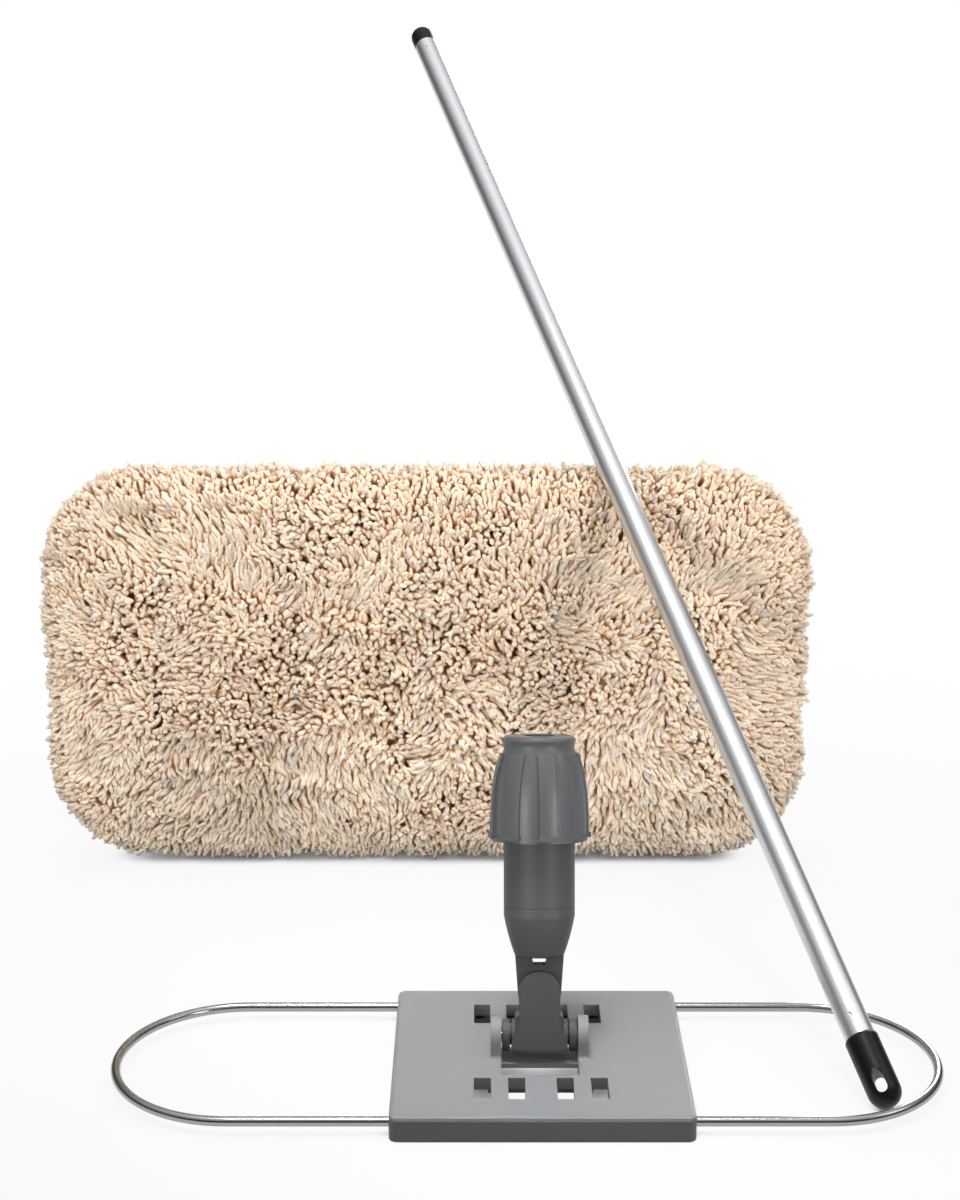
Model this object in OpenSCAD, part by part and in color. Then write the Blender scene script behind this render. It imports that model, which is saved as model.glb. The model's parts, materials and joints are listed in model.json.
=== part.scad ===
// Dust mop kit: pad standing behind, wire frame with swivel socket on the floor, pole leaning on the pad.
// Millimetres, +Z up, +X to the right and +Y to the back, origin under the middle of the plate.

/* [Plate] */
// Width of the plate
plate_w = 210; // [180:1:250]
// Depth of the plate, front to back
plate_d = 200; // [190:1:240]
// Height of the plate's skirt
plate_h = 18; // [17:0.5:24]
// Thickness of the plate's top and skirt
plate_wall = 3; // [2:0.1:4]
// Radius of the plate's upright corners
plate_corner_r = 6; // [4:0.5:12]
// Radius of the plate's upper edge
plate_edge_r = 3; // [1:0.5:4]
// Width of each small slot
slot_w = 12; // [8:0.5:14]
// Length of each small slot, front to back
slot_d = 31; // [20:1:36]
// Middle of the inner slots from the centre line
slot_inner_x = 17; // [14:0.5:20]
// Middle of the outer slots from the centre line
slot_outer_x = 41; // [36:0.5:46]
// Middle of the slot rows from the hinge line
slot_y = 58; // [56:0.5:62]
// Depth of the rim under the slots
slot_rim_h = 6; // [3:0.5:8]
// Front to back length of the window under the hinge
window_d = 76; // [50:1:78]
// Front to back length of the bridge across the window, under the hinge
bridge_d = 26; // [16:1:32]
// Thickness of that bridge
bridge_t = 3.4; // [2:0.1:4]

/* [Wires] */
// Diameter of the steel wire
wire_d = 7; // [5:0.5:8]
// Distance between the front and rear runs of wire
wire_span = 176; // [165:1:176]
// Height of the wire's middle above the floor
wire_z = 9; // [7:0.5:10]
// Reach of the left loop, plate centre to wire middle
left_reach = 305; // [250:1:400]
// Reach of the right loop, plate centre to wire middle
right_reach = 287; // [285:1:400]
// Gap between the two wires' ends under the plate
wire_gap = 10; // [4:1:30]
// Clearance round the wire in its holes and saddles
wire_clear = 0.2; // [0.1:0.05:0.4]
// Thickness of the two retaining bars
bar_t = 3.4; // [2:0.1:4]
// Diameter of the retaining screws
screw_d = 3; // [2.5:0.1:4]

/* [Swivel] */
// Height of the hinge pin above the floor
hinge_z = 30; // [29:0.5:40]
// Diameter of the hinge pin
hinge_pin_d = 6; // [4:0.5:8]
// Inner faces of the lugs from the centre line
lug_in = 27.5; // [26:0.5:30]
// Thickness of each lug
lug_t = 7.5; // [5:0.5:10]
// Radius of the lugs' round tops
lug_r = 14; // [10:0.5:16]
// Side play of the yoke between the lugs
yoke_play = 0.7; // [0.4:0.1:1.5]
// Radius of the yoke's barrel
barrel_r = 11.5; // [9:0.5:12.5]
// Half width of the yoke's foot
yoke_foot = 20; // [18:0.5:22]
// Radius of the yoke's ears
ear_r = 14.8; // [12:0.2:17]
// Thickness of each ear
ear_t = 6.7; // [5:0.1:9]
// Distance from the hinge pin to the swivel pin
swivel_rise = 32.5; // [32:0.5:45]
// Diameter of the swivel pin
swivel_pin_d = 7; // [5:0.5:9]
// Radial clearance of both pins
pin_clear = 0.05; // [0.02:0.01:0.1]
// Thickness of the socket's web between the ears
web_t = 12; // [8:0.5:14]
// Radius of the web's round end
web_r = 15.6; // [14:0.2:17]
// Play between web and yoke
web_play = 0.35; // [0.3:0.05:0.8]
// Angle that the socket leans back
lean = 15.5; // [0:0.5:30]

/* [Socket and nut] */
// Distance from the swivel pin to the socket's underside
socket_start = 25; // [22:0.5:30]
// Radius of the socket's underside
socket_foot_r = 18; // [17:0.2:22]
// Radius of the socket tube
socket_r = 25.6; // [25:0.2:28]
// Wall of the socket tube
socket_wall = 3; // [2:0.1:4]
// Length of the socket's taper
taper_l = 29; // [25:1:40]
// Length of the socket's straight tube above the taper
socket_straight = 95; // [85:1:110]
// Height of the collar nut
nut_h = 75; // [70:1:85]
// How much of the socket tube the nut covers
nut_cover = 41; // [30:1:46]
// Radius of the nut's dome at its foot
nut_r = 33.8; // [32:0.2:38]
// Radius of the nut's neck
nut_neck_r = 26.3; // [24:0.2:28]
// Height of the nut's neck
nut_neck_h = 12; // [8:0.5:16]
// Number of ribs on the nut
nut_ribs = 8; // [6:1:10]
// Turn of the ribs from the front at rest
nut_rib_turn = 9; // [0:1:45]
// Width of each rib
nut_rib_w = 12.5; // [8:0.5:14]
// How far the ribs stand proud
nut_rib_t = 1.9; // [1:0.1:3]
// Running clearance inside the nut
nut_clear = 0.8; // [0.4:0.1:1]

/* [Pole] */
// Overall length of the pole with its plug and cap
pole_l = 1200; // [800:10:1400]
// Outer diameter of the pole
pole_d = 22; // [20:0.5:24]
// Wall of the pole's tube
pole_wall = 1.2; // [0.8:0.1:2]
// Clearance of the pole in the clamp sleeve
pole_fit = 0.15; // [0.1:0.05:0.3]
// Length of the plug's dome outside the tube
plug_l = 24; // [16:1:30]
// Length of the hanging cap outside the tube
cap_l = 55; // [45:1:70]
// Diameter of the hanging cap
cap_d = 24.5; // [24:0.5:26]
// Length of the stems inside the tube
stem_l = 30; // [20:1:50]
// Clearance of the stems in the tube
stem_clear = 0.05; // [0.02:0.01:0.1]
// Width of the hanging hole
hang_w = 8; // [6:0.5:10]
// Length of the hanging hole
hang_l = 18.5; // [14:0.5:24]
// Turn of the hanging hole and the crimps about the pole
hang_turn = -31; // [-90:1:90]
// How far inside the right loop's tip the pole's foot stands
foot_in = 47; // [40:1:52]
// Where the pole's foot stands, to the back
foot_y = -52; // [-58:1:-40]
// Where the pole crosses the pad's top, to the right
rest_x = 58; // [0:1:100]

/* [Pad] */
// How far the yarn stands out past the ends of the canvas
yarn_side = 24; // [15:1:60]
// Height of the standing pad over its yarn
pad_h = 362; // [340:2:400]
// Thickness of the yarn in front of the canvas
yarn_t = 66; // [50:1:80]
// How far the yarn's face swells from its rolled edge to its middle
yarn_swell = 6; // [0:0.5:12]
// Radius of the pad's corners over the yarn
pad_corner_r = 96; // [75:1:110]
// Spare length in the pockets for the wire frame
pocket_play = 4; // [2:1:20]
// Height of the canvas
canvas_h = 250; // [230:2:280]
// Radius of the canvas's corners
canvas_corner_r = 88; // [80:1:110]
// Thickness of the canvas
canvas_t = 2.4; // [1.6:0.2:4]
// Width of the tape round the canvas
tape_w = 8; // [6:1:16]
// Thickness of the tape behind the canvas
tape_t = 1.6; // [1:0.1:2.5]
// How far each pocket reaches in from the canvas's end
pocket_reach = 150; // [110:2:200]
// Thickness of the pockets' canvas
pocket_t = 1.8; // [1.2:0.1:3]
// Width of the pockets' sewn edge
pocket_seam = 6; // [4:0.5:10]
// Room for the wire in a pocket
pocket_clear = 2.5; // [2:0.5:6]
// Middle of the standing pad, to the right
pad_x = -90; // [-110:1:-80]
// Front face of the standing pad
pad_y = 385; // [350:1:400]

/* [Hidden] */
$fn = 96;
hull_fn = 32;
eps = 0.01;

// Plate and wires
wire_r = wire_d / 2;
bend_r = wire_span / 2;
plate_top = plate_h - plate_wall;
rib_t = 2;
rib_foot_z = 5;
saddle_w = 16;
saddle_x = [-80, -32, 32, 80];
saddle_in = 12;
saddle_foot_z = wire_z - wire_r - wire_clear;
screw_in = 8;
screw_head_d = 2 * screw_d;
screw_head_h = 1.5;
screw_bite = 6;
screw_clear = 0.05;
bar_gap = 0.1;
bar_z = saddle_foot_z - bar_gap - bar_t;
bar_half = max(saddle_x) + saddle_w / 2;
skirt_in = plate_d / 2 - plate_wall;
window_w = 2 * lug_in;
lug_fillet = 3;

// Swivel
barrel_half = lug_in - yoke_play;
groove_w = 1.3;
groove_r = hinge_pin_d / 2 + 4;
yoke_half = web_t / 2 + web_play + ear_t;
ear_gap = web_t + 2 * web_play;
slot_floor = swivel_rise - web_r - web_play - 0.2;
waist = ear_r - 0.4;
waist_z = 0.6 * swivel_rise;
shoulder = waist + 3;
shoulder_z = 0.5 * swivel_rise;
shoulder_r = 4;
yoke_bottom = -9;
apron_top = -3;
apron_r = 2.5;
yoke_sweep = norm([yoke_half, yoke_bottom]);
bridge_clear = 0.5;
bridge_top = hinge_z - yoke_sweep - bridge_clear;
hinge_bore_r = hinge_pin_d / 2 + pin_clear;
swivel_bore_r = swivel_pin_d / 2 + pin_clear;
pin_inset = 0.5;
ear_cover = 3;
sight_w = 11;
sight_h = 6;

// Socket and nut, heights measured from the swivel pin
straight_z = socket_start + taper_l;
socket_top = straight_z + socket_straight;
socket_floor = 6;
ring_t = 1.2;
ring_deep = 0.2;
nut_z = socket_top - nut_cover;
nut_top = nut_z + nut_h;
nut_bore_r = socket_r + nut_clear;
jaw_z = socket_top + 1;
jaw_top = jaw_z + 18;
jaw_foot_r = 21;
sleeve_bore_r = pole_d / 2 + pole_fit;
sleeve_r = sleeve_bore_r + 3;
sleeve_foot = socket_start + socket_floor + 2;
sleeve_fit = 0.1;
sleeve_slit = 2;
sleeve_slit_l = 50;
sleeve_fins = 6;
fin_t = 2.5;
jaw_clear = 0.4;
nut_hole_r = sleeve_bore_r + 0.5;
nut_rim_r = 3.5;
nut_waist = 0.9;
rib_drop = 0.6;
rib_foot_h = 2.5;
rib_foot_out = 0.8;
nut_lip_h = 3;
nut_dome_h = nut_h - nut_neck_h - nut_lip_h;

// Pad
frame_w = left_reach + right_reach + wire_d;
tape_gap = 0.3;
pocket_edge = tape_w + tape_gap;
canvas_w = frame_w + pocket_play + 2 * (pocket_edge + pocket_seam);
pad_w = canvas_w + 2 * yarn_side;
pad_mid_z = pad_h / 2;
pocket_room = wire_d + pocket_clear;
pad_roll = (yarn_t - yarn_swell) / 2;
swell_in = pad_h / 4;
swell_corner_r = 0.8 * (pad_h / 2 - pad_roll - swell_in);
roll_depth = yarn_swell + pad_roll;

// Pole, lying on the pad's rolled upper edge
cap_r = cap_d / 2;
floor_gap = 0.3;
pole_foot = [right_reach - foot_in, foot_y, cap_r + floor_gap];
roll_mid = [rest_x, pad_y + roll_depth, pad_h - pad_roll];
rest_gap = 2.1;
to_roll = roll_mid - pole_foot;
run = norm([to_roll[0], to_roll[1]]);
pole_rise = atan2(to_roll[2], run) + asin((pad_roll + pole_d / 2 + rest_gap) / norm(to_roll));
pole_turn = atan2(to_roll[1], to_roll[0]);
tube_foot = cap_l - cap_r;
tube_l = pole_l - cap_l - plug_l;
tube_bore_r = pole_d / 2 - pole_wall;
stem_r = tube_bore_r - stem_clear;
cap_seam = 0.5;
dimple_r = 2;
dimple_deep = 0.8;

// Rounded rectangle as an exact outline
module rounded(w, h, r) {
  square([w - 2 * r, h], center = true);
  square([w, h - 2 * r], center = true);
  for (sx = [-1, 1], sy = [-1, 1])
    translate([sx * (w / 2 - r), sy * (h / 2 - r)])
      circle(r);
}

// Plate as a hull of its four rounded corners
module plate_body() {
  bevel = plate_edge_r * (1 - cos(45));
  hull()
    for (sx = [-1, 1], sy = [-1, 1])
      translate([sx * (plate_w / 2 - plate_corner_r), sy * (plate_d / 2 - plate_corner_r), 0]) {
        cylinder(r = plate_corner_r, h = plate_h - plate_edge_r, $fn = hull_fn);
        cylinder(r = plate_corner_r - bevel, h = plate_h - bevel, $fn = hull_fn);
        cylinder(r = plate_corner_r - plate_edge_r, h = plate_h, $fn = hull_fn);
      }
}

module at_slots() {
  for (x = [slot_inner_x, slot_outer_x], sx = [-1, 1], sy = [-1, 1])
    translate([sx * x, sy * slot_y, 0])
      children();
}

module along_x(r, l) {
  rotate([0, 90, 0])
    cylinder(r = r, h = l, center = true);
}

module at_saddles(side) {
  for (x = saddle_x)
    translate([x, side * bend_r, 0])
      children();
}

// Block under the plate with a groove that the wire is pressed up into
module saddle(side) {
  outward = skirt_in - bend_r + plate_wall / 2;
  difference() {
    translate([-saddle_w / 2, side > 0 ? -saddle_in : -outward, saddle_foot_z])
      cube([saddle_w, saddle_in + outward, plate_top - saddle_foot_z + plate_wall / 2]);
    translate([0, -side * screw_in, saddle_foot_z - eps])
      cylinder(d = screw_d + 2 * screw_clear, h = screw_bite);
  }
}

module lug(side) {
  translate([side * (lug_in + lug_t / 2), 0, 0])
    rotate([90, 0, 90])
      linear_extrude(lug_t, center = true)
        difference() {
          union() {
            translate([0, hinge_z])
              circle(lug_r);
            translate([-lug_r, plate_top])
              square([2 * lug_r, hinge_z - plate_top]);
            translate([-lug_r - lug_fillet, plate_top])
              square([2 * (lug_r + lug_fillet), plate_wall + lug_fillet]);
          }
          translate([0, hinge_z])
            circle(hinge_bore_r);
          for (sy = [-1, 1])
            translate([sy * (lug_r + lug_fillet), plate_h + lug_fillet])
              circle(lug_fillet);
        }
}

module base_plate() {
  color("#8b8d8f") {
    difference() {
      union() {
        difference() {
          plate_body();
          translate([0, 0, -eps])
            linear_extrude(plate_top + eps)
              rounded(plate_w - 2 * plate_wall, plate_d - 2 * plate_wall, plate_corner_r - plate_wall);
        }
        at_slots()
          translate([0, 0, plate_top - slot_rim_h])
            linear_extrude(slot_rim_h + eps)
              square([slot_w + 2 * rib_t, slot_d + 2 * rib_t], center = true);
        translate([0, 0, rib_foot_z])
          linear_extrude(plate_top - rib_foot_z + eps)
            square([window_w + 2 * (lug_t + rib_t), window_d + 2 * rib_t], center = true);
        for (side = [-1, 1]) {
          at_saddles(side)
            saddle(side);
          translate([side * 56 - rib_t / 2, -skirt_in - eps, rib_foot_z + rib_t])
            cube([rib_t, 2 * skirt_in + 2 * eps, plate_top - rib_foot_z - rib_t + eps]);
        }
      }
      at_slots()
        linear_extrude(3 * plate_h, center = true)
          square([slot_w, slot_d], center = true);
      linear_extrude(3 * plate_h, center = true)
        square([window_w, window_d], center = true);
      for (side = [-1, 1]) {
        translate([0, side * bend_r, wire_z])
          along_x(wire_r + wire_clear, plate_w + 2);
        translate([0, side * bend_r, wire_z / 2 - eps])
          cube([plate_w - 2 * plate_wall, 2 * (wire_r + wire_clear), wire_z], center = true);
      }
    }
    for (side = [-1, 1])
      lug(side);
    translate([0, 0, bridge_top - bridge_t / 2])
      cube([window_w + rib_t, bridge_d, bridge_t], center = true);
  }
}

// U of wire, drawn to the right
module wire_loop(reach) {
  straight = reach - bend_r;
  translate([0, 0, wire_z]) {
    for (side = [-1, 1])
      translate([(straight + wire_gap / 2) / 2, side * bend_r, 0])
        along_x(wire_r, straight - wire_gap / 2);
    translate([straight, 0, 0])
      rotate(-90)
        rotate_extrude(angle = 180)
          translate([bend_r, 0])
            circle(wire_r);
  }
}

module left_wire() {
  color("#c3c5c7")
    mirror([1, 0, 0])
      wire_loop(left_reach);
}

module right_wire() {
  color("#c3c5c7")
    wire_loop(right_reach);
}

module retainer(side) {
  bar_w = saddle_in + wire_r + wire_clear + 3;
  difference() {
    translate([0, side * (bend_r - saddle_in + bar_w / 2), bar_z + bar_t / 2])
      cube([2 * bar_half, bar_w, bar_t], center = true);
    at_saddles(side)
      translate([0, -side * screw_in, bar_z]) {
        translate([0, 0, -eps])
          cylinder(d = screw_head_d + 0.4, h = screw_head_h + eps);
        cylinder(d = screw_d + 0.4, h = bar_t + 1);
      }
  }
}

module front_retainer() {
  color("#77797b")
    retainer(-1);
}

module rear_retainer() {
  color("#77797b")
    retainer(1);
}

module retainer_screws() {
  color("#b8babc")
    for (side = [-1, 1])
      at_saddles(side)
        translate([0, -side * screw_in, bar_z]) {
          cylinder(d = screw_head_d, h = screw_head_h);
          cylinder(d = screw_d, h = saddle_foot_z - bar_z + screw_bite - 0.5);
        }
}

module at_hinge() {
  translate([0, 0, hinge_z])
    rotate([-lean, 0, 0])
      children();
}

module at_swivel() {
  at_hinge()
    translate([0, 0, swivel_rise])
      children();
}

module along_y(r, from, to) {
  translate([0, from, 0])
    rotate([-90, 0, 0])
      cylinder(r = r, h = to - from);
}

module hinge_pin() {
  color("#c8cacc")
    translate([0, 0, hinge_z])
      along_x(hinge_pin_d / 2, 2 * (lug_in + lug_t - pin_inset));
}

// Front outline of the yoke: broad apron with round corners, a flare up to the waist, and a round ear
module yoke_outline() {
  apron = [for (a = [-90:30:0]) [yoke_foot - apron_r * (1 - cos(a)), yoke_bottom + apron_r * (1 + sin(a))]];
  flare = [
    for (i = [0:8])
      let (t = i / 8)
        [waist + (yoke_foot - waist) * (1 - t) * (1 - t), apron_top + (waist_z - apron_top) * t]
  ];
  half = concat(apron, flare, [[ear_r, swivel_rise]]);
  polygon(concat(half, [for (i = [len(half) - 1:-1:0]) [-half[i][0], half[i][1]]]));
  translate([0, swivel_rise])
    circle(ear_r);
}

// Stout middle of the yoke, which shows as round shoulders behind the waist
module yoke_shoulders() {
  translate([0, shoulder_z / 2])
    rounded(2 * shoulder, shoulder_z, shoulder_r);
}

module yoke() {
  color("#6a6c6e")
    at_hinge()
      difference() {
        union() {
          along_x(barrel_r, 2 * barrel_half);
          rotate([90, 0, 0])
            linear_extrude(2 * yoke_half, center = true)
              yoke_outline();
          rotate([90, 0, 0])
            linear_extrude(2 * yoke_half - 4, center = true)
              yoke_shoulders();
        }
        for (side = [-1, 1])
          translate([side * (yoke_foot + groove_w / 2), 0, 0])
            difference() {
              along_x(barrel_r + 1, groove_w);
              along_x(groove_r, groove_w + 1);
            }
        along_x(hinge_bore_r, 2 * barrel_half + 1);
        translate([0, 0, slot_floor + ear_r + web_r])
          cube([2 * yoke_foot + 1, ear_gap, 2 * (ear_r + web_r)], center = true);
        translate([0, 0, swivel_rise])
          along_y(swivel_bore_r, ear_cover - yoke_half, yoke_half + 1);
      }
}

module swivel_pin() {
  color("#c8cacc")
    at_swivel()
      along_y(swivel_pin_d / 2, ear_cover - yoke_half + pin_inset, yoke_half - pin_inset);
}

// Flat web under the socket, with a round end on the swivel pin and a sight gap above the ears
module socket_web() {
  rotate([90, 0, 0])
    linear_extrude(web_t, center = true)
      difference() {
        union() {
          circle(web_r);
          polygon([
            [-web_r, 0], [web_r, 0],
            [socket_foot_r - 0.5, socket_start + 1], [0.5 - socket_foot_r, socket_start + 1]
          ]);
        }
        circle(swivel_bore_r);
        translate([0, socket_start - sight_h])
          polygon([
            [-0.4 * sight_w, 0], [0.4 * sight_w, 0],
            [0.5 * sight_w, sight_h], [-0.5 * sight_w, sight_h]
          ]);
      }
}

// Outside of the socket's taper, which eases into the straight tube
function socket_side() = [
  for (i = [0:8])
    let (t = i / 8, ease = t * (1.35 - 0.35 * t))
      [socket_foot_r + (socket_r - socket_foot_r) * ease, socket_start + 1 + (taper_l - 1) * t]
];

module socket_tube() {
  inside = socket_r - socket_wall;
  color("#626466")
    at_swivel() {
      difference() {
        rotate_extrude()
          polygon(concat(
            [[0, socket_start], [socket_foot_r - 1, socket_start]],
            socket_side(),
            [[socket_r, socket_top], [inside, socket_top], [inside, straight_z]],
            [[socket_foot_r - socket_wall, socket_start + socket_floor], [0, socket_start + socket_floor]]
          ));
        for (z = [straight_z - 5, straight_z + 6])
          translate([0, 0, z])
            rotate_extrude()
              translate([socket_r - ring_deep, 0])
                square([socket_wall, ring_t]);
      }
      socket_web();
    }
}

// Split sleeve: a tube with fins in the socket and a cone of jaws under the nut
module clamp_sleeve() {
  fin_r = socket_r - socket_wall - sleeve_fit;
  fin_out = sqrt(fin_r * fin_r - fin_t * fin_t / 4);
  fin_foot = straight_z + 1;
  color("#d8d8d4")
    at_swivel()
      difference() {
        union() {
          translate([0, 0, sleeve_foot])
            cylinder(r = min(sleeve_r, socket_foot_r - socket_wall - 0.4), h = fin_foot - sleeve_foot + eps);
          translate([0, 0, fin_foot])
            cylinder(r = sleeve_r, h = jaw_z - fin_foot + eps);
          translate([0, 0, jaw_z])
            cylinder(r1 = jaw_foot_r, r2 = sleeve_r, h = jaw_top - jaw_z);
          translate([0, 0, jaw_z - 3])
            cylinder(r = jaw_foot_r, h = 3 + eps);
          for (i = [0:sleeve_fins - 1])
            rotate(i * 360 / sleeve_fins)
              translate([sleeve_r - 1, -fin_t / 2, fin_foot])
                cube([fin_out - sleeve_r + 1, fin_t, socket_top - fin_foot - sleeve_slit_l / 2]);
        }
        translate([0, 0, sleeve_foot + 3])
          cylinder(r = sleeve_bore_r, h = jaw_top);
        for (a = [45, 135])
          rotate(a)
            translate([0, 0, jaw_top - sleeve_slit_l / 2 + eps])
              cube([2 * socket_r, sleeve_slit, sleeve_slit_l], center = true);
      }
}

// Outside of the nut from its lip to its neck, moved out by grow
function nut_side(grow) = [
  for (i = [0:8])
    let (t = i / 8)
      [nut_r - (nut_r - nut_neck_r) * t * t * t + grow, nut_lip_h + nut_dome_h * t]
];

// Hollow of the nut's neck, then its round rim
function nut_neck() = concat(
  [
    for (i = [1:6])
      let (t = i / 6)
        [nut_neck_r - nut_waist * sin(180 * t), nut_h - nut_neck_h + (nut_neck_h - nut_rim_r) * t]
  ],
  [for (a = [15:15:90]) [nut_neck_r - nut_rim_r * (1 - cos(a)), nut_h - nut_rim_r * (1 - sin(a))]]
);

module nut_rib() {
  intersection() {
    rotate_extrude()
      polygon(concat(
        [[nut_bore_r + 2, nut_lip_h]],
        nut_side(nut_rib_t),
        [[nut_bore_r - 4, nut_lip_h + nut_dome_h]]
      ));
    translate([0, -nut_rib_w / 2, 0])
      cube([2 * nut_r, nut_rib_w, nut_h - nut_neck_h - rib_drop]);
  }
  translate([nut_bore_r + 2, -nut_rib_w / 2 - rib_foot_out, nut_lip_h - 1])
    cube([nut_r + nut_rib_t + rib_foot_out - nut_bore_r - 2, nut_rib_w + 2 * rib_foot_out, rib_foot_h + 1]);
}

module collar_nut() {
  step_z = jaw_z - nut_z - 0.5;
  cone_z = jaw_top - nut_z + 0.5;
  color("#737577")
    at_swivel()
      translate([0, 0, nut_z])
        rotate(nut_rib_turn - 90 - 180 / nut_ribs)
          difference() {
            union() {
              rotate_extrude()
                polygon(concat(
                  [[0, 0], [nut_r + 0.6, 0], [nut_r + 0.6, nut_lip_h]],
                  nut_side(0),
                  nut_neck(),
                  [[0, nut_h]]
                ));
              for (i = [0:nut_ribs - 1])
                rotate((i + 0.5) * 360 / nut_ribs)
                  nut_rib();
            }
            rotate_extrude()
              polygon([
                [0, -1], [nut_bore_r, -1], [nut_bore_r, step_z],
                [jaw_foot_r + jaw_clear, step_z], [jaw_foot_r + jaw_clear, step_z + 0.5],
                [sleeve_r + jaw_clear, cone_z], [nut_hole_r, cone_z],
                [nut_hole_r, nut_h + 1], [0, nut_h + 1]
              ]);
          }
}

// Pole frame: +Z runs up the pole from the middle of the cap's round end
module at_pole() {
  translate(pole_foot)
    rotate([0, 90 - pole_rise, pole_turn])
      children();
}

module dimples(z) {
  rotate(hang_turn)
    for (side = [-1, 1])
      translate([side * (pole_d / 2 + dimple_r - dimple_deep), 0, z])
        sphere(dimple_r);
}

module pole_tube() {
  color("#b9bbbe")
    at_pole()
      difference() {
        translate([0, 0, tube_foot])
          cylinder(d = pole_d, h = tube_l);
        translate([0, 0, tube_foot - 1])
          cylinder(r = tube_bore_r, h = tube_l + 2);
        dimples(tube_foot + 0.5 * stem_l);
        dimples(tube_foot + tube_l - 0.4 * stem_l);
      }
}

module pole_plug() {
  plug_r = pole_d / 2;
  color("#1c1c1d")
    at_pole()
      translate([0, 0, tube_foot + tube_l])
        rotate_extrude()
          polygon(concat(
            [[0, -stem_l], [stem_r - 1, -stem_l], [stem_r, 1 - stem_l], [stem_r, 0], [plug_r, 0]],
            [for (a = [0:10:90]) [plug_r * cos(a), plug_l - plug_r + plug_r * sin(a)]]
          ));
}

module hanging_cap() {
  color("#1c1c1d")
    at_pole()
      difference() {
        rotate_extrude()
          polygon(concat(
            [for (a = [-90:10:0]) [cap_r * cos(a), cap_r * sin(a)]],
            [[cap_r, tube_foot - 2], [cap_r - 0.8, tube_foot - cap_seam], [stem_r, tube_foot - cap_seam]],
            [[stem_r, tube_foot + stem_l - 1], [stem_r - 1, tube_foot + stem_l], [0, tube_foot + stem_l]]
          ));
        rotate(hang_turn) {
          rotate([0, 90, 0])
            linear_extrude(2 * cap_d, center = true)
              for (x = [0, hang_w - hang_l])
                translate([x, 0])
                  circle(d = hang_w);
          translate([0, 0, (hang_l - hang_w) / 2])
            cube([2 * cap_d, hang_w, hang_l - hang_w], center = true);
        }
      }
}

// Standing pad: drawn in the X and Z of its face, with depth to the back
module at_pad(depth) {
  translate([pad_x, pad_y + depth, pad_mid_z])
    rotate([90, 0, 0])
      mirror([0, 0, 1])
        children();
}

// Yarn pile as a plump block: edges rolled round, and a face that swells towards the middle
module pad_yarn() {
  color("#dcc9ae")
    at_pad(0)
      hull() {
        for (sx = [-1, 1], sy = [-1, 1])
          translate([sx * (pad_w / 2 - pad_corner_r), sy * (pad_h / 2 - pad_corner_r), roll_depth])
            rotate_extrude($fn = hull_fn)
              translate([pad_corner_r - pad_roll, 0])
                circle(pad_roll, $fn = 24);
        for (a = [15:15:90]) {
          inset = pad_roll + swell_in * (1 - cos(a));
          translate([0, 0, yarn_swell * (1 - sin(a))])
            linear_extrude(pad_roll)
              rounded(pad_w - 2 * inset, pad_h - 2 * inset, swell_corner_r, $fn = hull_fn);
        }
      }
}

module pad_backing() {
  color("#d9d2c3")
    at_pad(yarn_t)
      linear_extrude(canvas_t)
        rounded(canvas_w, canvas_h, canvas_corner_r);
}

module edge_binding() {
  color("#e6e0d2")
    at_pad(yarn_t + canvas_t)
      linear_extrude(tape_t)
        difference() {
          rounded(canvas_w, canvas_h, canvas_corner_r);
          rounded(canvas_w - 2 * tape_w, canvas_h - 2 * tape_w, canvas_corner_r - tape_w);
        }
}

// Pocket at the right end of the canvas, sewn on three sides and open to the middle
module pocket() {
  outer_w = canvas_w - 2 * pocket_edge;
  outer_h = canvas_h - 2 * pocket_edge;
  outer_r = canvas_corner_r - pocket_edge;
  mouth = canvas_w / 2 - pocket_reach;
  intersection() {
    difference() {
      linear_extrude(pocket_room + pocket_t)
        rounded(outer_w, outer_h, outer_r);
      translate([0, 0, -1])
        linear_extrude(pocket_room + 1)
          rounded(outer_w - 2 * pocket_seam, outer_h - 2 * pocket_seam, outer_r - pocket_seam);
    }
    translate([mouth, -canvas_h, -1])
      cube([canvas_w, 2 * canvas_h, 10 * pocket_room]);
  }
}

module right_pocket() {
  color("#d2cabb")
    at_pad(yarn_t + canvas_t)
      pocket();
}

module left_pocket() {
  color("#d2cabb")
    at_pad(yarn_t + canvas_t)
      mirror([1, 0, 0])
        pocket();
}

base_plate();
left_wire();
right_wire();
front_retainer();
rear_retainer();
retainer_screws();
hinge_pin();
yoke();
swivel_pin();
socket_tube();
clamp_sleeve();
collar_nut();
pole_tube();
pole_plug();
hanging_cap();
pad_yarn();
pad_backing();
edge_binding();
left_pocket();
right_pocket();
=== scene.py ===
import json
import math

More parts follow.
